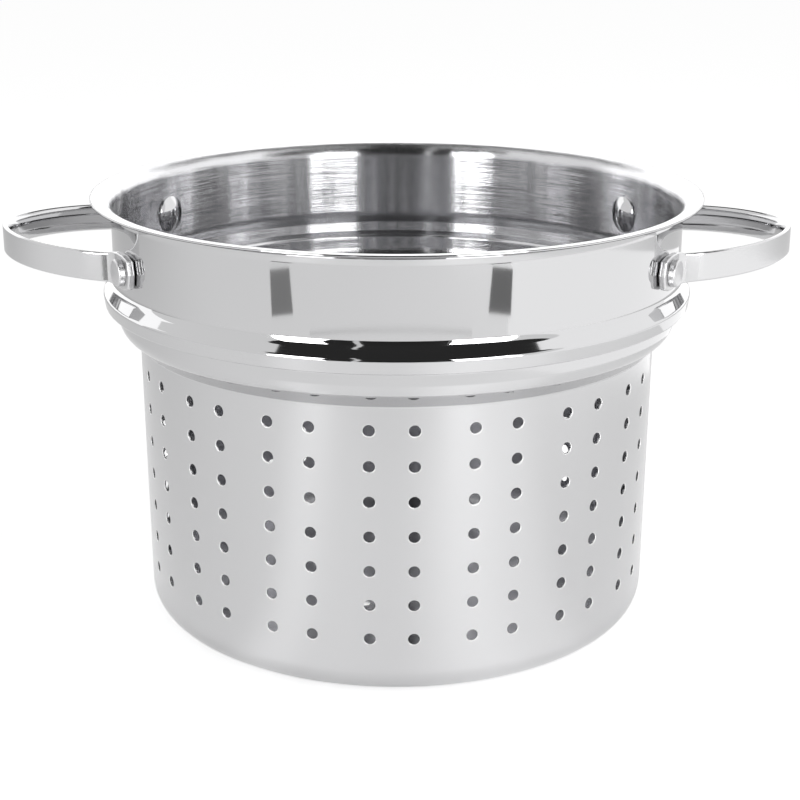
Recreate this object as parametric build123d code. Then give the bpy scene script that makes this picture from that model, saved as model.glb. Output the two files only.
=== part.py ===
from build123d import *
import os
from math import atan2, cos, degrees, radians, sin, sqrt, tan

# Strainer insert for a pasta pot, in millimetres and degrees.
# The origin is the centre of the base, +Z is up, and the handles stand out along -X and +X.

# Sheet of the vessel, and the pot that the insert hangs in
sheet = 0.8
total_height = 183.2
pot_bore_radius = 120.0
pot_fit_clearance = 0.6

# Flared rim: radius of the flare's underside, and angle of the lip from the vertical
rim_overhang = 8.3
rim_flare_radius = 5.2
rim_slope_angle = 88.0
lip_edge_radius = 0.35

# Outward bead that rests on the rim of the pot, depths measured down from the lip
bead_overhang = 4.7
bead_foot_overhang = 4.0
bead_cove_depth = 35.2
bead_top_depth = 39.6
bead_foot_depth = 45.2
bead_cove_radius = 4.5
bead_bend_radius = 1.0
bead_fold_radius = 0.2

# Shoulder land that centres the insert in the mouth of the pot, and the step in to the basket
land_top_depth = 46.3
land_corner_radius = 1.0
shoulder_depth = 54.3
shoulder_step = 8.5
shoulder_angle = 48.0
shoulder_bend_radius = 6.3
shoulder_cove_radius = 1.2

# Perforated basket
basket_taper = 0.8
base_bend_radius = 10.6
hole_diameter = 4.7
hole_top_depth = 71.5
hole_foot_height = 25.3
hole_rows = 7
hole_pairs = 17
hole_spacing = 17.5
hole_turn_angle = -90.95
base_ring_pitch = 28.0
base_rings = 3
base_ring_holes = 6

# Strip handles: plan arcs of the outer face, then the strip's section and its rise towards the end
handle_standoff = 47.6
loop_end_radius = 30.2
loop_end_half_angle = 18.1
loop_side_radius = 61.5
root_bend_radius = 6.0
handle_thickness = 3.4
handle_height = 12.0
handle_rise_angle = 3.2
handle_edge_chamfer = 0.5
root_blend_radius = 9.0

# Riveting tab at each end of a handle, lengths along the collar from the shank's axis
tab_height = 14.2
tab_end_height = 11.6
tab_inboard_length = 5.4
tab_chamfer_start = 2.0
tab_shoulder_length = 6.7
tab_length = 8.2
tab_corner_radius = 1.2
tab_flare_length = 5.0
seat_gap = 0.1

# Rivets
rivet_depth = 22.7
shank_diameter = 6.0
shank_clearance = 0.1
outer_head_diameter = 11.0
outer_head_thickness = 2.9
outer_head_crown = 0.4
outer_head_edge_radius = 0.9
inner_head_diameter = 16.4
inner_head_height = 3.6
inner_head_rim = 0.8

# Length by which every cutting tool runs past what it cuts
overrun = 5.0

collar_radius = pot_bore_radius + sheet
land_radius = pot_bore_radius - pot_fit_clearance
basket_top_radius = land_radius - shoulder_step
basket_foot_radius = basket_top_radius - basket_taper
hole_row_pitch = (total_height - hole_top_depth - hole_foot_height) / (hole_rows - 1)
rim_radius = collar_radius + rim_overhang
tab_radius = collar_radius + seat_gap + handle_thickness
handle_reach = collar_radius + handle_standoff
rivet_height = total_height - rivet_depth


def wall_outline():
    """Outer face of the sheet as a half outline, from the lip down to the centre of the base."""
    lip_height = total_height - sheet * sin(radians(rim_slope_angle))
    rim_drop = rim_overhang / tan(radians(rim_slope_angle))
    shoulder_drop = (land_radius - basket_top_radius) / tan(radians(shoulder_angle))
    corners = [
        (rim_radius, lip_height),
        (collar_radius, lip_height - rim_drop),
        (collar_radius, total_height - bead_cove_depth),
        (collar_radius + bead_overhang, total_height - bead_top_depth),
        (collar_radius + bead_foot_overhang, total_height - bead_foot_depth),
        (land_radius, total_height - land_top_depth),
        (land_radius, total_height - shoulder_depth),
        (basket_top_radius, total_height - shoulder_depth - shoulder_drop),
        (basket_foot_radius, 0),
        (0, 0),
    ]
    radii = [rim_flare_radius, bead_cove_radius, bead_bend_radius + sheet, bead_fold_radius + sheet,
             land_corner_radius, shoulder_bend_radius + sheet, shoulder_cove_radius,
             base_bend_radius + sheet]
    return FilletPolyline(*corners, radius=radii)


def drawn_shell():
    """The vessel without holes: the sheet's section, thickened inwards, turned about the Z axis."""
    section = make_face(wall_outline().wire().offset_2d(sheet, side=Side.RIGHT, closed=True))
    lip_corners = section.vertices().sort_by(Axis.X)[-2:]
    section = fillet(lip_corners, lip_edge_radius)
    return revolve(Plane.XZ * section, Axis.Z)


def wall_drills():
    """Radial drills for the basket wall: rows of holes, grouped in pairs round the turn."""
    start = basket_foot_radius - sheet - overrun
    length = basket_top_radius + overrun - start
    tool = Pos(start, 0, 0) * extrude(Plane.YZ * Circle(hole_diameter / 2), amount=length)
    half_gap = degrees(hole_spacing / basket_top_radius) / 2
    angles = [hole_turn_angle + pair * 360 / hole_pairs + side * half_gap
              for pair in range(hole_pairs) for side in (-1, 1)]
    heights = [total_height - hole_top_depth - row * hole_row_pitch for row in range(hole_rows)]
    return [Pos(0, 0, height) * Rot(0, 0, angle) * tool for height in heights for angle in angles]


def base_drills():
    """Upright drills for the drain holes in the base, in rings round a plain centre."""
    tool = Pos(0, 0, -overrun) * extrude(Circle(hole_diameter / 2), amount=sheet + 2 * overrun)
    return [place * tool for ring in range(1, base_rings + 1)
            for place in PolarLocations(ring * base_ring_pitch, ring * base_ring_holes)]


def strainer_vessel():
    """The drawn shell with its wall holes, drain holes and rivet holes."""
    return drawn_shell() - wall_drills() - base_drills() - shank_drills()


def on_circle(centre, radius, angle):
    """Point at an angle on a plan circle."""
    return centre + radius * Vector(cos(radians(angle)), sin(radians(angle)))


def loop_centres():
    """Centres of the plan arcs on the +Y side: the loop's end, its side and the root bend."""
    end = Vector(handle_reach - loop_end_radius, 0)
    side = on_circle(end, loop_end_radius - loop_side_radius, loop_end_half_angle)
    tab_reach = tab_radius + root_bend_radius
    side_reach = loop_side_radius + root_bend_radius
    along = (tab_reach**2 - side_reach**2 + side.length**2) / (2 * side.length)
    across = sqrt(tab_reach**2 - along**2)
    toward = side.normalized()
    root = along * toward + across * Vector(-toward.Y, toward.X)
    return end, side, root


def angle_from(centre, point):
    """Plan angle of a point seen from a centre."""
    return degrees(atan2(point.Y - centre.Y, point.X - centre.X))


def root_angle():
    """Plan angle at which the root bend leaves the tab."""
    return angle_from(Vector(0, 0), loop_centres()[2])


def rivet_angle():
    """Plan angle of a shank's axis, measured from the X axis."""
    return root_angle() + degrees(tab_inboard_length / tab_radius)


def strip_line(inset):
    """Plan line of the whole strip, from tab to tab, at a depth inside its outer face."""
    end, side, root = loop_centres()
    centre = Vector(0, 0)
    tab_end = rivet_angle() + degrees((tab_length + overrun) / tab_radius)
    side_end = angle_from(side, root)
    bend_start = angle_from(root, centre)
    bend_end = angle_from(root, side)
    half = [
        CenterArc(centre, tab_radius - inset, tab_end, root_angle() - tab_end),
        CenterArc(root, root_bend_radius + inset, bend_start, (bend_end - bend_start) % 360),
        CenterArc(side, loop_side_radius - inset, side_end, loop_end_half_angle - side_end),
        CenterArc(end, loop_end_radius - inset, loop_end_half_angle, -loop_end_half_angle),
    ]
    return half + [mirror(arc, Plane.XZ) for arc in half]


def strip_plan():
    """Plan of the whole strip as a face between its outer and inner lines."""
    outer = Curve() + strip_line(0)
    inner = Curve() + strip_line(handle_thickness)
    starts = [line @ 0 for line in (strip_line(0)[0], strip_line(handle_thickness)[0])]
    ends = [Vector(point.X, -point.Y) for point in starts]
    return make_face(outer + inner + Line(*starts) + Line(*ends))


def strip_elevation():
    """Side view of the strip: tall at the tabs, narrower and rising from the root to the end."""
    root = on_circle(Vector(0, 0), tab_radius, root_angle())
    near = on_circle(Vector(0, 0), tab_radius, rivet_angle() + degrees(tab_length / tab_radius)).X - overrun
    flare_end = root.X + tab_flare_length
    far = handle_reach + overrun
    rise = (far - flare_end) * tan(radians(handle_rise_angle))
    top = [(near, tab_height / 2), (root.X, tab_height / 2), (flare_end, handle_height / 2),
           (far, handle_height / 2 + rise)]
    bottom = [(near, -tab_height / 2), (root.X, -tab_height / 2), (flare_end, -handle_height / 2),
              (far, rise - handle_height / 2)]
    radii = [0, root_blend_radius, root_blend_radius, 0]
    return make_face(FilletPolyline(*top, *bottom[::-1], radius=radii + radii, close=True))


def shank_frame(side):
    """Plane at a shank's axis of the right handle: X towards the tab's end, Y up, Z outwards."""
    angle = radians(side * rivet_angle())
    toward_end = Vector(-side * sin(angle), side * cos(angle), 0)
    return Plane(origin=(0, 0, 0), x_dir=toward_end, z_dir=Vector(cos(angle), sin(angle), 0))


def tab_trim():
    """Outline that is cut away round a tab's end: chamfered corners and a blunt point."""
    half = tab_height / 2
    high = half + overrun
    far = tab_length + 2 * overrun
    upper = [(0, half), (tab_chamfer_start, half), (tab_shoulder_length, tab_end_height / 2)]
    lower = [(x, -y) for x, y in upper[::-1]]
    outer = [(0, -high), (far, -high), (far, high), (0, high)]
    radii = [0, root_blend_radius, tab_corner_radius, tab_corner_radius, tab_corner_radius,
             root_blend_radius, 0, 0, 0, 0, 0]
    return make_face(FilletPolyline(*upper, (tab_length, 0), *lower, *outer, radius=radii, close=True))


def strip_handle():
    """The right handle at rivet height zero: a rising strip with broken edges and drilled tabs."""
    strip = extrude(strip_plan(), amount=handle_reach, both=True)
    strip &= extrude(Plane.XZ * strip_elevation(), amount=handle_reach, both=True)
    for side in (-1, 1):
        strip -= extrude(shank_frame(side) * tab_trim(), amount=handle_reach)
    strip = chamfer(strip.edges().filter_by(GeomType.LINE, reverse=True), handle_edge_chamfer)
    for side in (-1, 1):
        strip -= shank_drill(side)
    return strip


def shank_drill(side):
    """Clearance drill for one shank of the right handle, through the collar and the tab."""
    start = pot_bore_radius - overrun
    drill = extrude(Circle(shank_diameter / 2 + shank_clearance), amount=tab_radius + overrun - start)
    return shank_frame(side) * Pos(0, 0, start) * drill


def shank_drills():
    """Clearance drills for all four shanks, at their height on the vessel."""
    return [Pos(0, 0, rivet_height) * Rot(0, 0, turn) * shank_drill(side)
            for turn in (0, 180) for side in (-1, 1)]


def outer_head():
    """Crowned disc with a rounded edge, turned about its axis, down to within the tab."""
    radius = outer_head_diameter / 2
    top = tab_radius + seat_gap + outer_head_thickness
    crown = TangentArc((0, top), (radius, top - outer_head_crown), tangent=(1, 0))
    rest = Polyline((radius, top - outer_head_crown), (radius, collar_radius), (0, collar_radius), (0, top))
    outline = make_face(crown + rest)
    edge = outline.vertices().group_by(Axis.Y)[-2]
    return revolve(Plane.XZ * fillet(edge, outer_head_edge_radius), Axis.Z)


def inner_head():
    """Domed head with a low rim, turned about its axis, up to within the collar's wall."""
    radius = inner_head_diameter / 2
    seat = pot_bore_radius - seat_gap
    apex = seat - inner_head_height
    rim = seat - inner_head_rim
    dome = TangentArc((0, apex), (radius, rim), tangent=(1, 0))
    rest = Polyline((radius, rim), (radius, collar_radius), (0, collar_radius), (0, apex))
    return revolve(Plane.XZ * make_face(dome + rest), Axis.Z)


def rivet(side):
    """One rivet of the right handle: a shank, an outer head on the tab and a domed head inside."""
    frame = shank_frame(side)
    seat = tab_radius + seat_gap
    outer = frame * outer_head() - Cylinder(seat, 2 * seat)
    inner = frame * inner_head() & Cylinder(pot_bore_radius - seat_gap, 2 * seat)
    start = pot_bore_radius - seat_gap - inner_head_rim
    end = seat + outer_head_thickness / 2
    shank = frame * Pos(0, 0, start) * extrude(Circle(shank_diameter / 2), amount=end - start)
    return outer + shank + inner


def nodes():
    """Every piece under its own name, at its place."""
    lift = Pos(0, 0, rivet_height)
    half_turn = lift * Rot(0, 0, 180)
    return {
        "strainer_vessel": strainer_vessel(),
        "handle_right": lift * strip_handle(),
        "handle_left": half_turn * strip_handle(),
        "rivet_right_front": lift * rivet(-1),
        "rivet_right_back": lift * rivet(1),
        "rivet_left_front": half_turn * rivet(1),
        "rivet_left_back": half_turn * rivet(-1),
    }


os.makedirs("parts", exist_ok=True)
for name, piece in nodes().items():
    export_step(piece, f"parts/{name}.step")
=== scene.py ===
from math import asin, atan2, cos, pi, radians, sin, sqrt, tan

import bpy
import numpy as np
from mathutils import Matrix, Vector
from mathutils.geometry import delaunay_2d_cdt


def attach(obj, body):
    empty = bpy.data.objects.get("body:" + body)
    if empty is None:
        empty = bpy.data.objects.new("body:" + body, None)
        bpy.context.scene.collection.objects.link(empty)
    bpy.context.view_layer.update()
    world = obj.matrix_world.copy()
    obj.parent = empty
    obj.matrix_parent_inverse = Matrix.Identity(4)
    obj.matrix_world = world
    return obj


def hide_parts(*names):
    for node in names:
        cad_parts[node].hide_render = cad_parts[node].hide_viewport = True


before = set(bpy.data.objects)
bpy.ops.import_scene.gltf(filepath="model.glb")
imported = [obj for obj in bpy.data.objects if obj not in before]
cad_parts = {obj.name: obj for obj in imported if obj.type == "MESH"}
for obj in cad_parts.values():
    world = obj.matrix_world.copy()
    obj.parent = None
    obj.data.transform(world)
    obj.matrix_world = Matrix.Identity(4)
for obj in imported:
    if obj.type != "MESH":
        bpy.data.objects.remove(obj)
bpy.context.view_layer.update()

# Strainer insert of drawn stainless steel with two riveted strip handles.
# Lengths are in millimetres until a mesh is made; +Z is up and the handles stand out along X.
MM = 0.001

# Sheet of the vessel, flared rim and lip; the inside is brushed from just under the lip
SHEET = 0.8
HEIGHT = 183.2
COLLAR_R = 120.8
RIM_R = 129.1
RIM_SLOPE = radians(88.0)
RIM_BEND = 5.2
LIP_EDGE = 0.35
BRUSHED_TOP_Z = HEIGHT - 0.25

# Outward bead: cove above it, widest point, and foot where the sheet folds back in
BEAD_COVE_Z = HEIGHT - 35.2
BEAD_COVE_BEND = 4.5
BEAD_Z = HEIGHT - 39.6
BEAD_R = COLLAR_R + 4.7
BEAD_BEND = 1.0 + SHEET
BEAD_FOOT_Z = HEIGHT - 45.2
BEAD_FOOT_R = COLLAR_R + 4.0
BEAD_FOLD_BEND = 0.2 + SHEET

# Land, shoulder, tapered basket and base, and a height in the basket's straight wall
LAND_R = 119.4
LAND_TOP_Z = HEIGHT - 46.3
LAND_BEND = 1.0
SHOULDER_Z = HEIGHT - 54.3
SHOULDER_SLOPE = radians(48.0)
SHOULDER_BEND = 6.3 + SHEET
SHOULDER_COVE_BEND = 1.2
BASKET_TOP_R = 110.9
BASKET_FOOT_R = 110.1
BASE_BEND = 10.6 + SHEET
SHOULDER_FOOT_Z = SHOULDER_Z - (LAND_R - BASKET_TOP_R) / tan(SHOULDER_SLOPE)
MID_WALL_Z = SHOULDER_FOOT_Z - 5.0

# Perforation: pairs of holes round the wall in seven rows, and rings of drain holes in the base
HOLE_R = 2.35
HOLE_EDGE = 0.32
HOLE_SPACING = 17.5
PAIRS = 17
PAIR_TURN = radians(-90.95)
HALF_GAP = HOLE_SPACING / BASKET_TOP_R / 2
ROWS = 7
ROW_TOP_Z = HEIGHT - 71.5
ROW_PITCH = 14.4
BASE_PITCH = 28.0
BASE_RINGS = 3

# Steps along one side of a hole's cell, round a hole and round the vessel
SIDE_STEPS = 3
HOLE_STEPS = 4 * SIDE_STEPS
AROUND = 2 * PAIRS * SIDE_STEPS

# Strip handles: plan arcs of the outer face, strip section, rise towards the loop's end, and how far
# the edges' lines run past the root and the end
STRIP = 3.4
SEAT_GAP = 0.1
TAB_R = COLLAR_R + SEAT_GAP + STRIP
REACH = COLLAR_R + 47.6
END_R = 30.2
END_HALF = radians(18.1)
SIDE_R = 61.5
ROOT_R = 6.0
STRIP_HALF = 6.0
RISE = radians(3.2)
BLEND_R = 9.0
ROOT_OVERRUN = 20.0
END_OVERRUN = 5.0

# Round of the strip's front edge, inset and depth of its back's round at tab and loop, and steps
STRIP_EDGE = 0.8
TAB_BACK = (1.9, 1.9)
LOOP_BACK = (5.2, 2.6)
ROUND_POINTS = 7
ROOT_STEPS = 20
SIDE_ARC_STEPS = 28
END_ARC_STEPS = 14

# Riveting tab at each end of a strip, lengths along the collar from the shank's axis
TAB_HALF = 7.1
TAB_END_HALF = 5.8
TAB_INBOARD = 5.4
TAB_CHAMFER = 2.0
TAB_SHOULDER = 6.7
TAB_LENGTH = 8.2
TAB_CORNER_R = 1.2
TAB_FLARE = 5.0

# Rivets: crowned outer head, shank and domed inner head, lengths out along the shank's axis. The
# head's round edge starts at a small tilt and lift, to meet the crown
RIVET_Z = HEIGHT - 22.7
SHANK_R = 3.0
HEAD_R = 5.5
HEAD_SEAT = TAB_R + SEAT_GAP
HEAD_TOP = HEAD_SEAT + 2.9
HEAD_CROWN = 0.4
HEAD_EDGE = 0.9
HEAD_EDGE_LIFT = 0.02
HEAD_EDGE_START = radians(8)
DOME_R = 8.2
DOME_SEAT = COLLAR_R - SHEET - SEAT_GAP
DOME_APEX = DOME_SEAT - 3.6
DOME_RIM = DOME_SEAT - 0.8
RIVET_STEPS = 48
CROWN_RINGS = 5
EDGE_RINGS = 6
DOME_RINGS = 12

# Finish of the vessel's outside, and sizes of the marks that polishing and brushing leave
OUTSIDE_STEEL = "#C5C5C6"
BUFFING_HAZE = 111.1
BUFFING_WAVE = 35.71
GROOVE_WIDTH = 0.125
GROOVE_LENGTH = 40.27
FLUTE_WIDTH = 13.42
LINISHING_CLOUD = 71.43
PANEL_WAVE = 45.45
TUMBLE_GRAIN = 2.381

# Stage, in metres: the floor, the point on the front of the bead that the cards are laid out from,
# and a card's height above the floor at a distance of one metre
FLOOR_HALF = 9.0
FLOOR_Z = -0.0002
CARD_EYE = np.array([0.0, -0.11, 0.14])
CARD_LIFT = 0.0068


# Surfaces

def rays(angles):
    """Unit vectors in plan: (cos, sin) of every angle."""
    return np.stack([np.cos(angles), np.sin(angles)], axis=-1)


def filleted(corners, radii, turn=radians(7.5)):
    """A polyline with a tangent arc of its own radius at each inner corner.

    A corner that turns by angle a starts its arc r*tan(a/2) before the corner; the arc's normals turn
    evenly from one run's normal to the next. Returns the points and their left-hand normals.
    """
    corners = np.array(corners, float)
    runs = np.diff(corners, axis=0)
    runs /= np.linalg.norm(runs, axis=1)[:, None]
    lefts = np.stack([-runs[:, 1], runs[:, 0]], axis=1)
    points, normals = [corners[:1]], [lefts[:1]]
    for corner, before, after, left, radius in zip(corners[1:-1], runs[:-1], runs[1:], lefts[:-1], radii):
        angle = atan2(before[0] * after[1] - before[1] * after[0], before @ after)
        start = corner - before * radius * tan(abs(angle) / 2)
        count = max(2, int(np.ceil(abs(angle) / turn)) + 1)
        steps = np.linspace(0, angle, count)
        swept = np.stack([left[0] * np.cos(steps) - left[1] * np.sin(steps),
                          left[0] * np.sin(steps) + left[1] * np.cos(steps)], axis=1)
        points.append(start + np.sign(angle) * radius * (left - swept))
        normals.append(swept)
    points.append(corners[-1:])
    normals.append(lefts[-1:])
    return np.concatenate(points), np.concatenate(normals)


def turned(line, normals, azimuths):
    """Surface of revolution: the line's radius goes round Z at every azimuth."""
    spin = rays(azimuths)

    def around(values):
        flat = values[:, None, 0, None] * spin[None]
        upright = np.broadcast_to(values[:, None, 1, None], flat.shape[:-1] + (1,))
        return np.concatenate([flat, upright], axis=-1)
    return around(line), around(normals)


def grid_faces(points, normals):
    """Corner points and corner normals of every quad of grids of shape (..., rows, columns, 3)."""
    def corners(grid):
        around = [grid[..., :-1, :-1, :], grid[..., 1:, :-1, :], grid[..., 1:, 1:, :], grid[..., :-1, 1:, :]]
        return np.stack(around, axis=-2).reshape(-1, 4, 3)
    return corners(points), corners(normals)


def make_piece(name, patches, materials, replaced):
    """One mesh from patches of (corner points, corner normals, material number).

    Corners at the same place, to a ten-thousandth of a millimetre, become one vertex, a quad with two
    corners in one place becomes a triangle, and a face that looks against its normals is turned round.
    The surfaces' own normals go into the mesh, so that a reflection follows the true curve.
    """
    points = np.concatenate([patch[0] for patch in patches])
    normals = np.concatenate([patch[1] for patch in patches])
    numbers = np.concatenate([np.full(len(patch[0]), patch[2]) for patch in patches])
    facing = np.cross(points[:, 2] - points[:, 0], points[:, 3] - points[:, 1])
    back = np.einsum("ij,ij->i", facing, normals.sum(axis=1)) < 0
    points[back] = points[back, ::-1]
    normals[back] = normals[back, ::-1]
    keys = np.round(points.reshape(-1, 3) * 1e4).astype(np.int64)
    _, first, index = np.unique(keys, axis=0, return_index=True, return_inverse=True)
    vertices = points.reshape(-1, 3)[first]
    index = index.reshape(-1, 4)
    keep = index != np.roll(index, -1, axis=1)
    sound = keep.sum(axis=1) > 2
    index, keep, normals, numbers = index[sound], keep[sound], normals[sound], numbers[sound]
    totals = keep.sum(axis=1)
    mesh = bpy.data.meshes.new(name)
    mesh.vertices.add(len(vertices))
    mesh.vertices.foreach_set("co", (vertices * MM).ravel())
    mesh.loops.add(int(totals.sum()))
    mesh.loops.foreach_set("vertex_index", index[keep].astype(np.int32))
    mesh.polygons.add(len(totals))
    mesh.polygons.foreach_set("loop_start", (np.cumsum(totals) - totals).astype(np.int32))
    mesh.polygons.foreach_set("material_index", numbers.astype(np.int32))
    mesh.update(calc_edges=True)
    mesh.validate()
    mesh.shade_smooth()
    mesh.normals_split_custom_set(normals[keep].tolist())
    for material in materials:
        mesh.materials.append(material)
    piece = bpy.data.objects.new(name, mesh)
    bpy.context.scene.collection.objects.link(piece)
    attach(piece, "root")
    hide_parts(replaced)
    return piece


# Vessel

def wall_line():
    """Outer face of the sheet in (radius, height), from the lip to the edge of the flat base."""
    lip_z = HEIGHT - SHEET * sin(RIM_SLOPE)
    corners = [
        (RIM_R, lip_z), (COLLAR_R, lip_z - (RIM_R - COLLAR_R) / tan(RIM_SLOPE)), (COLLAR_R, BEAD_COVE_Z),
        (BEAD_R, BEAD_Z), (BEAD_FOOT_R, BEAD_FOOT_Z), (LAND_R, LAND_TOP_Z), (LAND_R, SHOULDER_Z),
        (BASKET_TOP_R, SHOULDER_FOOT_Z), (BASKET_FOOT_R, 0), (0, 0),
    ]
    bends = [RIM_BEND, BEAD_COVE_BEND, BEAD_BEND, BEAD_FOLD_BEND, LAND_BEND, SHOULDER_BEND,
             SHOULDER_COVE_BEND, BASE_BEND]
    points, normals = filleted(corners, bends)
    return points[:-1], normals[:-1]


def basket_radius(height):
    """Radius of the basket's outer face at a height: a straight taper."""
    share = height / SHOULDER_FOOT_Z
    return BASKET_FOOT_R + (BASKET_TOP_R - BASKET_FOOT_R) * share


def lip_line():
    """Edge of the lip: a quarter round, a flat and a quarter round across the sheet's thickness."""
    outer, normals = wall_line()
    along = outer[0] - outer[1]
    along /= np.linalg.norm(along)
    out = normals[0]
    base = outer[0] - along * LIP_EDGE
    turns = np.linspace(0, pi / 2, 5)[:, None]
    under = np.cos(turns) * out + np.sin(turns) * along
    over = (np.sin(turns) * along - np.cos(turns) * out)[::-1]
    first = base - out * LIP_EDGE + LIP_EDGE * under
    last = base - out * (SHEET - LIP_EDGE) + LIP_EDGE * over
    return np.concatenate([first, last]), np.concatenate([under, over])


def hole_tiles(sheet_depth, rings):
    """Every wall hole's tile, from its cell's border to rings of (radius, depth, tilt) round the hole.

    The sheet's depth is 0 on the outer face and SHEET on the inner one. The cell is the patch of cone
    between two pair or gap middles and half a row pitch up and down; border and rings run round from
    its corner at -45 degrees. A ring's point lies at (y, z) round the hole's axis and at
    x = sqrt(R(z)^2 - y^2) on the cone; its normal leans from the cone's normal towards the hole's axis
    by the ring's tilt.
    """
    cells = np.arange(2 * PAIRS)
    middle = PAIR_TURN + (cells + 1) // 2 * 2 * pi / PAIRS
    centres = middle + np.where(cells % 2 == 0, 1, -1) * HALF_GAP
    low = PAIR_TURN + cells * pi / PAIRS
    high = low + pi / PAIRS
    rows = ROW_TOP_Z - np.arange(ROWS) * ROW_PITCH
    side = np.linspace(-1, 1, SIDE_STEPS + 1)[:-1]
    one = np.ones(SIDE_STEPS)
    across = np.concatenate([one, -side, -one, side, [1]])
    up = np.concatenate([side, one, -side, -one, [-1]])
    ring_turn = np.radians(-45) + np.linspace(0, 2 * pi, HOLE_STEPS + 1)
    border_turn = (low + high)[:, None] / 2 + across[None] * (high - low)[:, None] / 2
    border_z = rows[:, None] + up[None] * ROW_PITCH / 2
    border_turn = np.broadcast_to(border_turn[:, None], (len(cells), ROWS, len(across)))
    border_z = np.broadcast_to(border_z[None], border_turn.shape)
    taper = atan2(BASKET_TOP_R - BASKET_FOOT_R, SHOULDER_FOOT_Z)
    facing = 1 if sheet_depth == 0 else -1

    def on_cone(turn, z, depth):
        radius = basket_radius(z) - depth
        return np.stack([radius * np.cos(turn), radius * np.sin(turn), z], axis=-1)

    def cone_normal(turn):
        flat = cos(taper) * facing
        rise = np.full(turn.shape, -sin(taper) * facing)
        return np.stack([flat * np.cos(turn), flat * np.sin(turn), rise], axis=-1)
    grids, leans = [on_cone(border_turn, border_z, sheet_depth)], [cone_normal(border_turn)]
    aside, below = np.cos(ring_turn), -np.sin(ring_turn)
    level = np.ones(border_turn.shape)
    axis_sin, axis_cos = np.sin(centres)[:, None, None], np.cos(centres)[:, None, None]
    inward = np.stack([axis_sin * aside * level, -axis_cos * aside * level, below * level], axis=-1)
    for radius, depth, tilt in rings:
        z = rows[None, :, None] - radius * below * level
        turn = centres[:, None, None] + np.arcsin(radius * aside / (basket_radius(z) - depth))
        grids.append(on_cone(turn, z, depth))
        leans.append(cos(tilt) * cone_normal(turn) + sin(tilt) * inward)
    return np.stack(grids, axis=-3), np.stack(leans, axis=-3)


def base_centres():
    """Centres of the drain holes: ring k holds 6k of them."""
    rings = [k * BASE_PITCH * rays(2 * pi * np.arange(6 * k) / (6 * k)) for k in range(1, BASE_RINGS + 1)]
    return np.concatenate(rings)


def drilled_disc(height, radius_out, up):
    """The flat base as triangles between its rim and the drain holes' rims.

    Triangles whose middle lies within a hole are left out.
    """
    centres = base_centres()
    circle = HOLE_R * rays(np.arange(HOLE_STEPS) * 2 * pi / HOLE_STEPS)
    rim = radius_out * rays(PAIR_TURN + np.arange(AROUND) * 2 * pi / AROUND)
    points = np.concatenate([rim] + [centre + circle for centre in centres])
    found = delaunay_2d_cdt([Vector(point) for point in points], [], [], 0, 1e-6)
    places = np.array([tuple(place) for place in found[0]])
    faces = np.array([face for face in found[2] if len(face) == 3])
    middles = places[faces].mean(axis=1)
    gaps = np.linalg.norm(middles[:, None] - centres[None], axis=2).min(axis=1)
    faces = faces[gaps > HOLE_R * 0.99]
    corners = np.concatenate([places[faces], np.full(faces.shape + (1,), float(height))], axis=2)
    corners = np.concatenate([corners, corners[:, -1:]], axis=1)
    return corners, np.broadcast_to([0.0, 0.0, up], corners.shape).copy()


def drain_walls():
    """Walls of the drain holes: straight cylinders through the base."""
    ring = rays(np.linspace(0, 2 * pi, HOLE_STEPS + 1))
    flat = base_centres()[:, None] + HOLE_R * ring[None]
    levels = np.broadcast_to(np.array([0, SHEET])[None, :, None, None], (len(flat), 2, len(ring), 1))
    points = np.concatenate([np.repeat(flat[:, None], 2, axis=1), levels], axis=-1)
    normals = np.concatenate([-ring, np.zeros((len(ring), 1))], axis=1)
    return points, np.broadcast_to(normals, points.shape).copy()


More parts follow.
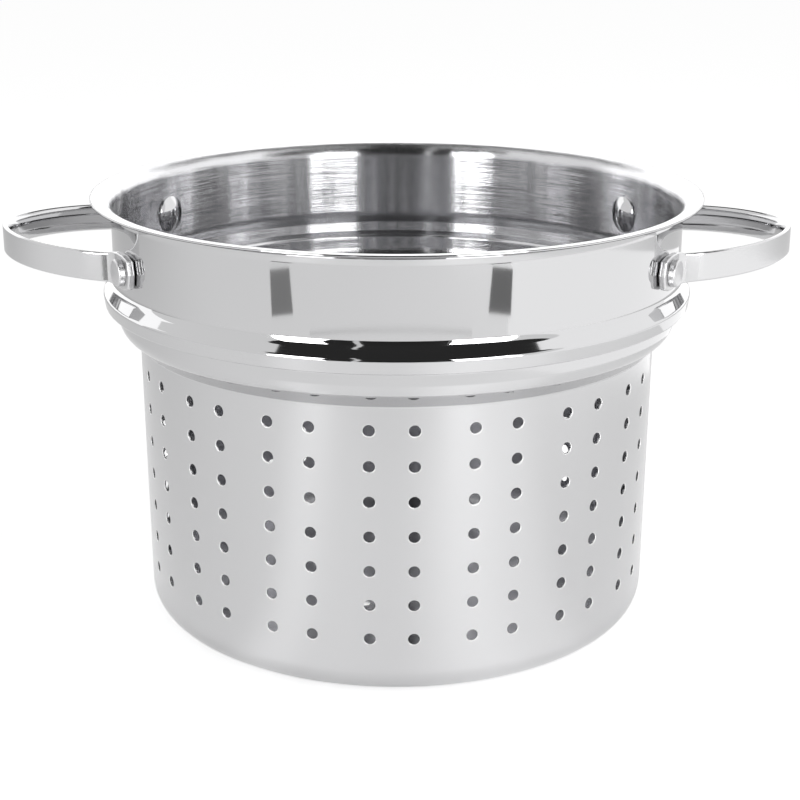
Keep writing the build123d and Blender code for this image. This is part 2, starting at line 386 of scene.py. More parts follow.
def strainer_vessel(materials):
    """Vessel: turned profile above and below the perforated band, tiles between, and drilled base.

    Material numbers: 0 lip, outside above the basket, underside and hole walls, 1 inside the collar,
    2 hole edges, 3 outside of the basket and 4 inside of the basket.
    """
    outer, normals = wall_line()
    inner = outer - SHEET * normals
    above = outer[:, 1] > MID_WALL_Z
    top_z = ROW_TOP_Z + ROW_PITCH / 2
    foot_z = top_z - ROWS * ROW_PITCH
    azimuths = PAIR_TURN + np.linspace(0, 2 * pi, AROUND + 1)
    patches = []

    def add(grid, number):
        patches.append((*grid_faces(*grid), number))

    for points, leans, depth, number in ((outer, normals, 0, 0), (inner, -normals, SHEET, 1)):
        wall_lean = leans[above][-1:]
        upper = np.concatenate([points[above], [(basket_radius(top_z) - depth, top_z)]])
        lower = np.concatenate([[(basket_radius(foot_z) - depth, foot_z)], points[~above]])
        upper_leans = np.concatenate([leans[above], wall_lean])
        lower_leans = np.concatenate([wall_lean, leans[~above]])
        flare = np.searchsorted(-upper[:, 1], -BRUSHED_TOP_Z) + 1
        foot = len(upper) - 2
        collar = slice(flare - 1, foot + 1)
        add(turned(upper[:flare], upper_leans[:flare], azimuths), 0)
        add(turned(upper[collar], upper_leans[collar], azimuths), number)
        add(turned(upper[foot:], upper_leans[foot:], azimuths), 3 + number)
        add(turned(lower, lower_leans, azimuths), 3 + number)
        up = -1 if number == 0 else 1
        patches.append((*drilled_disc(depth, points[-1, 0], up), 4 * number))
    lip, lip_normals = lip_line()
    add(turned(lip, lip_normals, azimuths), 0)
    add(turned(np.array([outer[0], lip[0]]), normals[[0, 0]], azimuths), 0)
    add(turned(np.array([inner[0], lip[-1]]), -normals[[0, 0]], azimuths), 0)
    outside = hole_tiles(0, [(HOLE_R + HOLE_EDGE, 0, 0), (HOLE_R, HOLE_EDGE, pi / 2)])
    add([grid[..., :2, :, :] for grid in outside], 3)
    add([grid[..., 1:, :, :] for grid in outside], 2)
    inside = hole_tiles(SHEET, [(HOLE_R, SHEET, 0)])
    add(inside, 4)
    wall = np.stack([outside[0][..., -1, :, :], inside[0][..., -1, :, :]], axis=-3)
    wall_leans = np.stack([outside[1][..., -1, :, :]] * 2, axis=-3)
    add((wall, wall_leans), 0)
    add(drain_walls(), 0)
    return make_piece("vessel_drawn_sheet", patches, materials, "strainer_vessel")


# Handles

def loop_arcs():
    """Plan angles of root and rivet, and the plan arcs of a handle's outer face from root to end.

    An arc is centre, radius, start angle, end angle, side and steps. The root bend's centre lies where
    circles of TAB_R + ROOT_R round the vessel's axis and SIDE_R + ROOT_R round the side arc's centre
    cross. Side is -1 where an arc's centre lies outside the strip, at the root bend.
    """
    end = np.array([REACH - END_R, 0.0])
    side = end + (END_R - SIDE_R) * np.array([cos(END_HALF), sin(END_HALF)])
    length = np.linalg.norm(side)
    tab_reach, side_reach = TAB_R + ROOT_R, SIDE_R + ROOT_R
    along = (tab_reach**2 - side_reach**2 + length**2) / (2 * length)
    across = sqrt(tab_reach**2 - along**2)
    toward = side / length
    root = along * toward + across * np.array([-toward[1], toward[0]])
    root_angle = atan2(root[1], root[0])
    rivet_angle = root_angle + TAB_INBOARD / TAB_R
    side_end = atan2(*(root - side)[::-1])
    bend_start = atan2(-root[1], -root[0])
    bend_turn = (atan2(*(side - root)[::-1]) - bend_start) % (2 * pi)
    return root_angle, rivet_angle, [
        (root, ROOT_R, bend_start, bend_start + bend_turn, -1, ROOT_STEPS),
        (side, SIDE_R, side_end, END_HALF, 1, SIDE_ARC_STEPS),
        (end, END_R, END_HALF, 0, 1, END_ARC_STEPS),
    ]


def strip_stations():
    """Stations along half a handle, from the tab's blunt point to the loop's end.

    Each has its plan point and plan normal on the outer face, its top and bottom heights, and which
    way the outline's edge faces there, along the strip towards the point and up.
    """
    root_angle, rivet_angle, arcs = loop_arcs()
    tab, tab_out = filleted([(-TAB_INBOARD, TAB_HALF), (TAB_CHAMFER, TAB_HALF), (TAB_SHOULDER, TAB_END_HALF),
                             (TAB_LENGTH, 0), (TAB_SHOULDER, -TAB_END_HALF)],
                            [BLEND_R, TAB_CORNER_R, TAB_CORNER_R], radians(6))
    half = np.round(tab[:, 1], 6) >= 0
    tab, tab_out = tab[half][::-1], tab_out[half][::-1]
    tab[0], tab_out[0] = (tab[0, 0], 0), (1, 0)
    tab_end = len(tab)
    outs = [rays(rivet_angle + np.arcsin(tab[:, 0] / TAB_R))]
    plan = [TAB_R * outs[0]]
    for centre, radius, start, finish, side, steps in arcs:
        spokes = rays(np.linspace(start, finish, steps + 1)[1:])
        plan.append(centre + radius * spokes)
        outs.append(side * spokes)
    plan, outs = np.concatenate(plan), np.concatenate(outs)
    run = np.concatenate([[0], np.cumsum(np.linalg.norm(np.diff(plan, axis=0), axis=1))])
    root_x = TAB_R * cos(root_angle)
    flare_x = root_x + TAB_FLARE
    far = REACH + END_OVERRUN
    rise = (far - flare_x) * tan(RISE)

    def edge_height(side):
        corners = [(root_x - ROOT_OVERRUN, side * TAB_HALF), (root_x, side * TAB_HALF),
                   (flare_x, side * STRIP_HALF), (far, rise + side * STRIP_HALF)]
        line = filleted(corners, [BLEND_R, BLEND_R], radians(1))[0]
        return np.interp(plan[:, 0], line[:, 0], line[:, 1])

    def edge_facing(heights):
        out = np.stack([np.gradient(heights, run), np.ones(len(run))], axis=1)
        return out / np.linalg.norm(out, axis=1)[:, None]
    top, bottom = edge_height(1), edge_height(-1)
    top[:tab_end] = np.minimum(top[:tab_end], tab[:, 1])
    bottom[:tab_end] = np.maximum(bottom[:tab_end], -tab[:, 1])
    top_out, bottom_out = edge_facing(top), edge_facing(-bottom)
    top_out[:tab_end] = tab_out
    bottom_out[:tab_end] = tab_out
    bottom_out[:, 1] *= -1
    return plan, outs, top, bottom, top_out, bottom_out, tab_end


def strip_handle(name, replaced, way, materials):
    """Handle: the strip's rounded section carried along its stations, mirrored front to back.

    Round a section the surface goes over the outer face, a quarter round, the edge, a quarter ellipse
    and the back. The ellipse grows from the tab's small round to the loop's crowned back along the
    root bend. Each point is the station's outline point, moved back from the outline by its inset and
    in from the outer face by its depth. Material numbers: 0 loop and 1 tab.
    """
    plan, outs, top, bottom, top_out, bottom_out, tab_end = strip_stations()
    ahead = np.stack([-outs[:, 1], outs[:, 0]], axis=1)
    crown = np.clip((np.arange(len(plan)) - tab_end) / ROOT_STEPS, 0, 1)[:, None]
    crown = crown**2 * (3 - 2 * crown)
    back_in = TAB_BACK[0] + (LOOP_BACK[0] - TAB_BACK[0]) * crown
    back_deep = TAB_BACK[1] + (LOOP_BACK[1] - TAB_BACK[1]) * crown
    quarter = np.linspace(0, pi / 2, ROUND_POINTS) + np.zeros_like(crown)
    fall = quarter[:, ::-1]
    insets = np.concatenate([STRIP_EDGE * (1 - np.sin(quarter)), back_in * (1 - np.sin(fall))], axis=1)
    front_depths, back_depths = STRIP_EDGE * (1 - np.cos(quarter)), STRIP - back_deep * (1 - np.cos(fall))
    depths = np.concatenate([front_depths, back_depths], axis=1)
    face_share = np.concatenate([np.cos(quarter), -np.cos(fall) / back_deep], axis=1)
    edge_share = np.concatenate([np.sin(quarter), np.sin(fall) / back_in], axis=1)
    length = np.hypot(face_share, edge_share)
    face_share, edge_share = face_share / length, edge_share / length

    def half_section(heights, out):
        flat = plan[:, None] - depths[..., None] * outs[:, None]
        flat = flat - insets[..., None] * out[:, None, :1] * ahead[:, None]
        level = heights[:, None] - insets * out[:, None, 1]
        normal_flat = (face_share[..., None] * outs[:, None]
                       + edge_share[..., None] * out[:, None, :1] * ahead[:, None])
        normal_up = edge_share * out[:, None, 1]
        return (np.concatenate([flat, level[..., None]], axis=-1),
                np.concatenate([normal_flat, normal_up[..., None]], axis=-1))
    over, over_normals = half_section(top, top_out)
    under, under_normals = half_section(bottom, bottom_out)
    points = np.concatenate([over, under[:, ::-1], over[:, :1]], axis=1)
    normals = np.concatenate([over_normals, under_normals[:, ::-1], over_normals[:, :1]], axis=1)
    patches = []
    for front in (1, -1):
        for number, part in enumerate((slice(tab_end - 1, None), slice(0, tab_end))):
            corners, leans = grid_faces(points[part] * [1, front, 1], normals[part] * [1, front, 1])
            patches.append((corners * [way, way, 1] + [0, 0, RIVET_Z], leans * [way, way, 1], number))
    return make_piece(name, patches, materials, replaced)


# Rivets

def rivet(name, replaced, way, front, materials):
    """Rivet: rings round its own axis, from the crowned outer head to the domed inner head.

    A ring of radius r lies at a fixed distance x along the axis, or where it meets a cylinder of
    radius R round the vessel's axis, at x = sqrt(R^2 - (r*cos(angle))^2). A ring is (radius, x, R,
    tilt of its normal from the axis, way that the normal looks along the axis). Material numbers: 0
    outer head and shank, 1 inner head.
    """
    crown_sphere = (HEAD_R**2 + HEAD_CROWN**2) / (2 * HEAD_CROWN)
    dome_rise = DOME_RIM - DOME_APEX
    dome_sphere = (DOME_R**2 + dome_rise**2) / (2 * dome_rise)
    crown = np.linspace(0, HEAD_R - HEAD_EDGE, CROWN_RINGS)
    crown_x = HEAD_TOP - crown**2 / (2 * crown_sphere)
    tilts = np.linspace(HEAD_EDGE_START, pi / 2, EDGE_RINGS)[1:]
    edge = HEAD_R - HEAD_EDGE * (1 - np.sin(tilts))
    edge_x = crown_x[-1] - HEAD_EDGE * (1 - np.cos(tilts)) + HEAD_EDGE_LIFT
    dome = DOME_R * np.sin(np.linspace(pi / 2, 0, DOME_RINGS))
    dome_x = DOME_APEX + dome_sphere - np.sqrt(dome_sphere**2 - dome**2)
    head = [(r, x, 0, r / crown_sphere, 1) for r, x in zip(crown, crown_x)]
    head += [(r, x, 0, tilt, 1) for r, x, tilt in zip(edge, edge_x, tilts)]
    head += [(HEAD_R, 0, HEAD_SEAT, pi / 2, 1)]
    seat = [(HEAD_R, 0, HEAD_SEAT, 0, -1), (SHANK_R, 0, HEAD_SEAT, 0, -1)]
    shank = [(SHANK_R, 0, HEAD_SEAT, pi / 2, 1), (SHANK_R, 0, DOME_SEAT, pi / 2, 1)]
    dome_seat = [(SHANK_R, 0, DOME_SEAT, 0, 1), (DOME_R, 0, DOME_SEAT, 0, 1)]
    dome_rim = [(DOME_R, 0, DOME_SEAT, pi / 2, -1), (DOME_R, DOME_RIM, 0, pi / 2, -1)]
    domed = [(r, x, 0, asin(min(r / dome_sphere, 1)), -1) for r, x in zip(dome, dome_x)]
    angles = np.linspace(0, 2 * pi, RIVET_STEPS + 1)
    axis_turn = front * loop_arcs()[1] + (0 if way > 0 else pi)
    axis = np.array([cos(axis_turn), sin(axis_turn), 0])
    aside = np.array([-sin(axis_turn), cos(axis_turn), 0])
    up = np.array([0, 0, 1])
    radial = np.cos(angles)[None, :, None] * aside + np.sin(angles)[None, :, None] * up
    patches = []
    for number, rings in zip((0, 0, 0, 1, 1, 1), (head, seat, shank, dome_seat, dome_rim, domed)):
        r, x, seat_r, tilt, facing = (np.array(values)[:, None] for values in zip(*rings))
        y, z = r * np.cos(angles)[None], r * np.sin(angles)[None]
        along = np.where(seat_r > 0, np.sqrt(np.maximum(seat_r**2 - y**2, 0)), x * np.ones_like(y))
        points = along[..., None] * axis + y[..., None] * aside + (z + RIVET_Z)[..., None] * up
        normals = np.sin(tilt)[..., None] * radial + (facing * np.cos(tilt))[..., None] * axis
        patches.append((*grid_faces(points, normals), number))
    return make_piece(name, patches, materials, replaced)


# Materials

def linear(colour):
    """An sRGB hex colour as linear RGBA."""
    parts = [int(colour[i:i + 2], 16) / 255 for i in (1, 3, 5)]
    return [c / 12.92 if c <= 0.04045 else ((c + 0.055) / 1.055) ** 2.4 for c in parts] + [1.0]


def per_metre(size):
    """Scale of a noise, in cells a metre, whose marks have a size in millimetres."""
    return 1 / (size * MM)


def node(tree, kind, settings):
    """Adds a node. A setting's key is a property or a socket, its value a value or the output to link."""
    made = tree.nodes.new(kind)
    for key, value in settings.items():
        if isinstance(value, bpy.types.NodeSocket):
            tree.links.new(value, made.inputs[key])
        elif isinstance(key, str) and hasattr(made, key):
            setattr(made, key, value)
        else:
            made.inputs[key].default_value = value
    return made


def emptied(owner):
    """The node tree of a material or world, with nothing in it."""
    owner.use_nodes = True
    owner.node_tree.nodes.clear()
    return owner.node_tree


def bare_metal(name, colour, settings):
    """A metal of one colour: its material, node tree and Principled shader."""
    material = bpy.data.materials.new(name)
    tree = emptied(material)
    shader = node(tree, "ShaderNodeBsdfPrincipled", {"Metallic": 1.0, "Base Color": linear(colour),
                                                     **settings})
    node(tree, "ShaderNodeOutputMaterial", {"Surface": shader.outputs[0]})
    return material, tree, shader


def mirror_polished_steel():
    """18/10 stainless steel, buffed to a mirror outside: sharp reflections with faint buffing haze."""
    material, tree, shader = bare_metal("mirror_polished_stainless", OUTSIDE_STEEL, {})
    place = node(tree, "ShaderNodeTexCoord", {}).outputs["Object"]
    haze = node(tree, "ShaderNodeTexNoise", {"Scale": per_metre(BUFFING_HAZE), "Detail": 3.0,
                                             "Roughness": 0.5, "Vector": place})
    rough = node(tree, "ShaderNodeMapRange", {"From Min": 0.35, "From Max": 0.75, "To Min": 0.035,
                                              "To Max": 0.075, "Value": haze.outputs["Fac"]})
    wave = node(tree, "ShaderNodeTexNoise", {"Scale": per_metre(BUFFING_WAVE), "Detail": 1.0,
                                             "Vector": place})
    bump = node(tree, "ShaderNodeBump", {"Strength": 0.02, "Distance": 0.001, "Height": wave.outputs["Fac"]})
    tree.links.new(rough.outputs["Result"], shader.inputs["Roughness"])
    tree.links.new(bump.outputs["Normal"], shader.inputs["Normal"])
    return material


def ring_brushed_steel(name, colour):
    """The same steel, brushed round the axis inside: reflections smear up and down, never sideways.

    Grooves an eighth of a millimetre wide run round the wall and round the base. Each tips the surface
    across its run by a share that a noise over height plus radius gives, and slow waves left by the
    drawing tip upright strips. The tipped normal is the unit of N + tip * (tangent x N).
    """
    material, tree, shader = bare_metal(name, colour, {"Roughness": 0.18, "Anisotropic": 1.0,
                                                       "Anisotropic Rotation": 0.25})
    tangent = node(tree, "ShaderNodeTangent", {"direction_type": "RADIAL", "axis": "Z"}).outputs[0]
    place = node(tree, "ShaderNodeTexCoord", {}).outputs["Object"]
    normal = node(tree, "ShaderNodeNewGeometry", {}).outputs["Normal"]
    parts = node(tree, "ShaderNodeSeparateXYZ", {"Vector": place}).outputs
    turn = node(tree, "ShaderNodeMath", {"operation": "ARCTAN2", 0: parts["Y"], 1: parts["X"]}).outputs[0]
    flat = node(tree, "ShaderNodeVectorMath", {"operation": "MULTIPLY", 0: place, 1: (1.0, 1.0, 0.0)})
    radius = node(tree, "ShaderNodeVectorMath", {"operation": "LENGTH", 0: flat.outputs[0]})
    profile = node(tree, "ShaderNodeMath", {0: parts["Z"], 1: radius.outputs["Value"]})
    spread = node(tree, "ShaderNodeMath", {"operation": "MULTIPLY", 0: turn, 1: COLLAR_R / GROOVE_LENGTH})
    rows = node(tree, "ShaderNodeMath", {"operation": "MULTIPLY", 0: profile.outputs[0],
                                         1: per_metre(GROOVE_WIDTH)})
    lines = node(tree, "ShaderNodeCombineXYZ", {"X": spread.outputs[0], "Y": rows.outputs[0]})
    grain = node(tree, "ShaderNodeTexNoise", {"Scale": 1.0, "Detail": 4.0, "Roughness": 0.85,
                                              "Vector": lines.outputs[0]})
    groove = node(tree, "ShaderNodeMapRange", {"To Min": -1.05, "To Max": 1.05,
                                               "Value": grain.outputs["Fac"]})
    flutes = node(tree, "ShaderNodeMath", {"operation": "MULTIPLY", 0: turn, 1: COLLAR_R / FLUTE_WIDTH})
    upright = node(tree, "ShaderNodeCombineXYZ", {"X": flutes.outputs[0]})
    wave = node(tree, "ShaderNodeTexNoise", {"Scale": 1.0, "Detail": 2.0, "Roughness": 0.6,
                                             "Vector": upright.outputs[0]})
    strip = node(tree, "ShaderNodeMapRange", {"To Min": -0.2, "To Max": 0.2, "Value": wave.outputs["Fac"]})
    tip = node(tree, "ShaderNodeMath", {0: groove.outputs["Result"], 1: strip.outputs["Result"]})
    across = node(tree, "ShaderNodeVectorMath", {"operation": "CROSS_PRODUCT", 0: tangent, 1: normal})
    lean = node(tree, "ShaderNodeVectorMath", {"operation": "SCALE", 0: across.outputs[0],
                                               "Scale": tip.outputs[0]})
    tipped = node(tree, "ShaderNodeVectorMath", {"operation": "ADD", 0: lean.outputs[0], 1: normal})
    unit = node(tree, "ShaderNodeVectorMath", {"operation": "NORMALIZE", 0: tipped.outputs[0]})
    tree.links.new(tangent, shader.inputs["Tangent"])
    tree.links.new(unit.outputs[0], shader.inputs["Normal"])
    return material


def fine_linished_steel():
    """The basket outside, linished finely round the axis: a bright skin that draws lamps out upright."""
    material, tree, shader = bare_metal("fine_linished_stainless", OUTSIDE_STEEL, {
        "Anisotropic": 0.5, "Anisotropic Rotation": 0.25})
    tangent = node(tree, "ShaderNodeTangent", {"direction_type": "RADIAL", "axis": "Z"})
    place = node(tree, "ShaderNodeTexCoord", {}).outputs["Object"]
    cloud = node(tree, "ShaderNodeTexNoise", {"Scale": per_metre(LINISHING_CLOUD), "Detail": 3.0,
                                              "Roughness": 0.5, "Vector": place})
    rough = node(tree, "ShaderNodeMapRange", {"From Min": 0.3, "From Max": 0.7, "To Min": 0.15,
                                              "To Max": 0.21, "Value": cloud.outputs["Fac"]})
    dent = node(tree, "ShaderNodeTexNoise", {"Scale": per_metre(PANEL_WAVE), "Detail": 1.0, "Vector": place})
    bump = node(tree, "ShaderNodeBump", {"Strength": 0.03, "Distance": 0.001, "Height": dent.outputs["Fac"]})
    tree.links.new(tangent.outputs[0], shader.inputs["Tangent"])
    tree.links.new(rough.outputs["Result"], shader.inputs["Roughness"])
    tree.links.new(bump.outputs["Normal"], shader.inputs["Normal"])
    return material


def hole_edge_painted_highlight_steel():
    """Edges of the punched holes, deburred, in a lighter colour than the wall: a painted highlight, a light
    ring round each hole.
    """
    return bare_metal("punched_hole_edge_painted_highlight", "#EAEAEA", {"Roughness": 0.45})[0]


def satin_strip_steel(name, roughness, grain_strength):
    """Cold-rolled strip, barrel polished: softer reflections than the vessel with a faint tumble grain.

    The real grain is finer than a tenth of a millimetre; it is drawn as coarse as it needs to show.
    """
    material, tree, shader = bare_metal(name, "#CBCBCC", {"Roughness": roughness})
    place = node(tree, "ShaderNodeTexCoord", {}).outputs["Object"]
    grain = node(tree, "ShaderNodeTexNoise", {"Scale": per_metre(TUMBLE_GRAIN), "Detail": 3.0,
                                              "Roughness": 0.6, "Vector": place})
    bump = node(tree, "ShaderNodeBump", {"Strength": grain_strength, "Distance": 0.0003,
                                         "Height": grain.outputs["Fac"]})
    tree.links.new(bump.outputs["Normal"], shader.inputs["Normal"])
    return material


# Stage

def seen_as_background(tree, path):
    """1 for rays that see a surface from the camera, in a mirror or through glass, 0 for bounced light."""
    seen = node(tree, "ShaderNodeMath", {"operation": "MAXIMUM", 0: path["Is Camera Ray"],
                                         1: path["Is Glossy Ray"]})
    through = node(tree, "ShaderNodeMath", {"operation": "MAXIMUM", 0: seen.outputs[0],
                                            1: path["Is Transmission Ray"]})
    return through.outputs[0]


def card(name, border, strength, distance, rows=24, columns=32):
    """A studio card: a patch of a sphere round the front of the bead, or of the floor below it.

    The border lists (elevation, left azimuth, right azimuth) in degrees; azimuth 0 faces the camera,
    along -Y, and grows towards +X. A ray at elevation e ends at the card's distance or where it comes
    down to just above the floor, at height/-sin(e); a nearer card lies higher over the floor. Only
    reflections see a card.
    """
    material = bpy.data.materials.new(name + "_face")
    tree = emptied(material)
    light = node(tree, "ShaderNodeEmission", {"Strength": strength})
    node(tree, "ShaderNodeOutputMaterial", {"Surface": light.outputs[0]})
    border = np.array(border, float)
    lift = np.linspace(border[0, 0], border[-1, 0], rows)[:, None]
    left = np.interp(lift, border[:, 0], border[:, 1])
    right = np.interp(lift, border[:, 0], border[:, 2])
    turn = np.radians(left + (right - left) * np.linspace(0, 1, columns)[None])
    lift = np.radians(lift) * np.ones_like(turn)
    to_floor = (CARD_EYE[2] - CARD_LIFT / distance) / np.maximum(-np.sin(lift), 1e-6)
    aim = np.stack([np.sin(turn) * np.cos(lift), -np.cos(turn) * np.cos(lift), np.sin(lift)], axis=-1)
    points = CARD_EYE + np.minimum(distance, to_floor)[..., None] * aim
    index = np.arange(rows * columns).reshape(rows, columns)
    faces = np.stack([index[:-1, :-1], index[:-1, 1:], index[1:, 1:], index[1:, :-1]], axis=-1)
    mesh = bpy.data.meshes.new(name)
    mesh.from_pydata(points.reshape(-1, 3).tolist(), [], faces.reshape(-1, 4).tolist())
    mesh.materials.append(material)
    made = bpy.data.objects.new(name, mesh)
    bpy.context.scene.collection.objects.link(made)
    made.visible_camera = False
    made.visible_diffuse = False
    made.visible_shadow = False


def painted_floor_light_for_mirrors(tree, place):
    """Tone of the floor as the polished steel mirrors it: painted light that only reflections see.

    It falls from front to back and rises a little to the right. Two painted pools of lamp light lie
    round the object at azimuth shares of a full turn from -X, and a painted shadow darkens it close
    to the base.
    """
    parts = node(tree, "ShaderNodeSeparateXYZ", {"Vector": place}).outputs
    reach = node(tree, "ShaderNodeVectorMath", {"operation": "LENGTH", 0: place}).outputs["Value"]
    behind = node(tree, "ShaderNodeMapRange", {
        "interpolation_type": "SMOOTHSTEP", "From Min": -0.35, "From Max": 0.75, "To Min": 0.60,
        "To Max": 0.22, "Value": parts["Y"]})
    aside = node(tree, "ShaderNodeMapRange", {"From Min": -0.7, "From Max": 0.7, "To Min": 0.0,
                                              "To Max": 0.08, "Value": parts["X"]})
    fall = node(tree, "ShaderNodeMath", {0: behind.outputs["Result"], 1: aside.outputs["Result"]})
    turn = node(tree, "ShaderNodeMath", {"operation": "ARCTAN2", 0: parts["Y"], 1: parts["X"]})
    share = node(tree, "ShaderNodeMapRange", {"From Min": -pi, "From Max": pi, "Value": turn.outputs[0]})
    # Painted pools of lamp light round the object
    pools = node(tree, "ShaderNodeValToRGB", {"Fac": share.outputs["Result"]})
    ramp = pools.color_ramp
    ramp.interpolation = "EASE"
    for position, lift in ((0.12, 0.0), (0.158, 0.17), (0.195, 0.05), (0.245, 0.02), (0.315, 0.26),
                           (0.365, 0.16), (0.42, 0.0)):
        ramp.elements.new(position).color = (lift, lift, lift, 1.0)
    for end in (0, -1):
        ramp.elements[end].color = (0.0, 0.0, 0.0, 1.0)
    near = node(tree, "ShaderNodeMapRange", {
        "interpolation_type": "SMOOTHSTEP", "From Min": 0.38, "From Max": 0.58, "To Min": 1.0,
        "To Max": 0.0, "Value": reach})
    pooled = node(tree, "ShaderNodeMath", {"operation": "MULTIPLY_ADD", 0: pools.outputs["Color"],
                                           1: near.outputs["Result"], 2: fall.outputs[0]})
    # Painted shadow: the mirrored floor darkens close to the base
    contact = node(tree, "ShaderNodeMapRange", {
        "interpolation_type": "SMOOTHSTEP", "From Min": 0.10, "From Max": 0.134, "To Min": 0.66,
        "To Max": 1.0, "Value": reach})
    tone = node(tree, "ShaderNodeMath", {"operation": "MULTIPLY", 0: pooled.outputs[0],
                                         1: contact.outputs["Result"]})
    return tone.outputs[0]


def floor():
    """A plain pale floor that keeps the object's shadow: white to the camera; to a mirror it shows painted
    light, with pools of lamp light and a shadow near the base.
    """
    material = bpy.data.materials.new("matt_white_paper")
    tree = emptied(material)
    paper = node(tree, "ShaderNodeBsdfDiffuse", {"Color": linear("#EDEDED")})
    path = node(tree, "ShaderNodeLightPath", {}).outputs
    place = node(tree, "ShaderNodeTexCoord", {}).outputs["Object"]
    # Reflections see the floor with painted light: a falling tone, lamp pools and a shadow near the base
    tone = node(tree, "ShaderNodeMapRange", {"To Min": 0.62, "Value": path["Is Glossy Ray"],
                                             "To Max": painted_floor_light_for_mirrors(tree, place)})
    level = node(tree, "ShaderNodeMath", {"operation": "MULTIPLY", 0: seen_as_background(tree, path),
                                          1: tone.outputs["Result"]})
    light = node(tree, "ShaderNodeEmission", {"Color": (1, 1, 1, 1), "Strength": level.outputs[0]})
    both = node(tree, "ShaderNodeAddShader", {0: paper.outputs[0], 1: light.outputs[0]})
    node(tree, "ShaderNodeOutputMaterial", {"Surface": both.outputs[0]})
    corners = [(x * FLOOR_HALF, y * FLOOR_HALF, FLOOR_Z) for x, y in ((-1, -1), (1, -1), (1, 1), (-1, 1))]
    mesh = bpy.data.meshes.new("floor")
    mesh.from_pydata(corners, [], [(0, 1, 2, 3)])
    mesh.materials.append(material)
    made = bpy.data.objects.new("floor", mesh)
    bpy.context.scene.collection.objects.link(made)


def softbox(name, place, aim, size, watts):
    """A square area lamp that lights the floor and the object softly and isn't mirrored."""
    data = bpy.data.lights.new(name, "AREA")
    data.size = size
    data.energy = watts
    lamp = bpy.data.objects.new(name, data)
    lamp.location = place
    lamp.rotation_euler = (Vector(aim) - Vector(place)).to_track_quat("-Z", "Y").to_euler()
    lamp.visible_glossy = False
    bpy.context.scene.collection.objects.link(lamp)


def white_room():
    """World: white where it is seen, and a plain dimmer light on everything."""
    world = bpy.data.worlds.new("white_room")
    bpy.context.scene.world = world
    tree = emptied(world)
    path = node(tree, "ShaderNodeLightPath", {}).outputs
    level = node(tree, "ShaderNodeMapRange", {"To Min": 0.42, "To Max": 1.0,
                                              "Value": seen_as_background(tree, path)})
    back = node(tree, "ShaderNodeBackground", {"Color": (1, 1, 1, 1), "Strength": level.outputs["Result"]})
    node(tree, "ShaderNodeOutputWorld", {"Surface": back.outputs[0]})


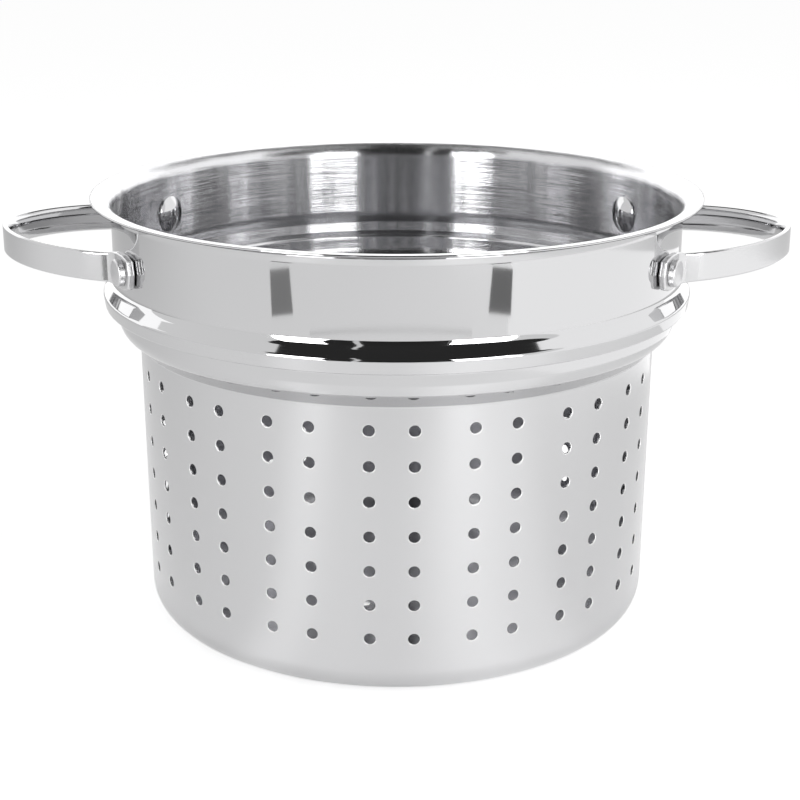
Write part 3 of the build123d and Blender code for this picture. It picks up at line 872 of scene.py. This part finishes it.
def studio():
    """White room, floor, softboxes, and the dark and light cards that the polished steel mirrors."""
    white_room()
    floor()
    softbox("softbox_left", (-1.3, -0.9, 1.5), (0, 0, 0.1), 1.2, 0.8)
    softbox("softbox_right", (1.3, -0.5, 0.9), (0.5, -0.2, 0), 1.0, 4.5)
    softbox("softbox_top", (0, 0.2, 2.0), (0, 0, 0), 1.6, 1.5)
    # Dark parts of the room, mirrored in the collar, the bead and the vessel's inside
    card("card_dark_gap", [(-8, -32, 25), (34, -32, 25)], 0.03, 1.70)
    card("card_dark_ceiling", [(31, -50, 57), (45, -62, 78), (60, -82, 94), (70, -87, 99), (84, -72, 72)],
         0.035, 1.70)
    card("card_dark_top", [(84, -180, 180), (90, -180, 180)], 0.10, 1.72, columns=48)
    card("card_dark_back", [(38, 150, 210), (84, 138, 222)], 0.10, 1.74)
    # Bright panels, mirrored as upright bands inside and as flashes on the bead
    card("card_light_left", [(-8, -50, -26.5), (8, -50, -29.5), (34, -50, -30)], 7.0, 0.95)
    card("card_light_right", [(-8, 22.5, 49), (30, 22.5, 49)], 7.0, 0.62)
    card("card_light_strip", [(-7, -17, -14.5), (30, -16.5, -14), (45, -19, -16.5), (60, -26, -23),
                              (72, -38, -34)], 0.9, 1.55)
    # Pale walls and backdrop, mirrored at the sides and along the rim
    card("card_wall_right", [(-4, 52, 128), (70, 94, 128)], 1.35, 1.78)
    card("card_floor_right", [(-16, 46, 150), (-9, 46, 150)], 1.36, 1.78)
    card("card_backdrop", [(-3, 110, 250), (32, 110, 250)], 1.65, 1.80)
    # Small grey boards low in front, mirrored in the collar, and a line on the floor
    card("card_block_left", [(-10.05, -54.6, -45.2), (-5.35, -55.0, -46.5)], 0.30, 0.30)
    card("card_block_right", [(-10.05, 39.9, 49.7), (-5.35, 41.3, 50.1)], 0.22, 0.30)
    card("card_line_front", [(-13.95, -36, 31), (-13.7, -36, 31)], 0.8, 1.50)


def photo_camera():
    """Camera at the photograph's viewing angle: in front of the insert, looking down by 18 degrees."""
    pitch, yaw, roll = radians(17.9334), radians(0.1192), radians(0.0969)
    ahead = Vector((sin(yaw) * cos(pitch), cos(yaw) * cos(pitch), -sin(pitch)))
    right = Vector((cos(yaw), -sin(yaw), 0))
    up = right.cross(ahead)
    across = right * cos(roll) + up * sin(roll)
    above = up * cos(roll) - right * sin(roll)
    data = bpy.data.cameras.new("photo_camera")
    data.lens = 73.28
    data.sensor_width = 36.0
    camera = bpy.data.objects.new("photo_camera", data)
    camera.matrix_world = Matrix((across, above, -ahead)).transposed().to_4x4()
    camera.location = (0, -0.68824, 0.31106)
    bpy.context.scene.collection.objects.link(camera)
    bpy.context.scene.camera = camera


bpy.context.scene.view_settings.view_transform = "Standard"
photo_camera()
studio()

vessel_outside = mirror_polished_steel()
vessel_inside = ring_brushed_steel("ring_brushed_stainless", "#D4D4D6")
basket_outside = fine_linished_steel()
# The basket's inside is the brushed inside in a darker colour: painted shade deep in the vessel and through
# the holes
basket_inside = ring_brushed_steel("ring_brushed_stainless_painted_shade", "#C8C8CB")
# Hole edges: a lighter steel colour, painted highlight rings round the holes
hole_edges = hole_edge_painted_highlight_steel()
handle_steel = satin_strip_steel("barrel_polished_strip", 0.09, 0.03)
rivet_steel = satin_strip_steel("tumbled_strip_ends_and_rivets", 0.34, 0.5)

strainer_vessel([vessel_outside, vessel_inside, hole_edges, basket_outside, basket_inside])
for word, way in (("right", 1), ("left", -1)):
    strip_handle("handle_strip_" + word, "handle_" + word, way, [handle_steel, rivet_steel])
    for end, front in (("front", -1), ("back", 1)):
        rivet("rivet_heads_%s_%s" % (word, end), "rivet_%s_%s" % (word, end), way, front * way,
              [rivet_steel, vessel_outside])
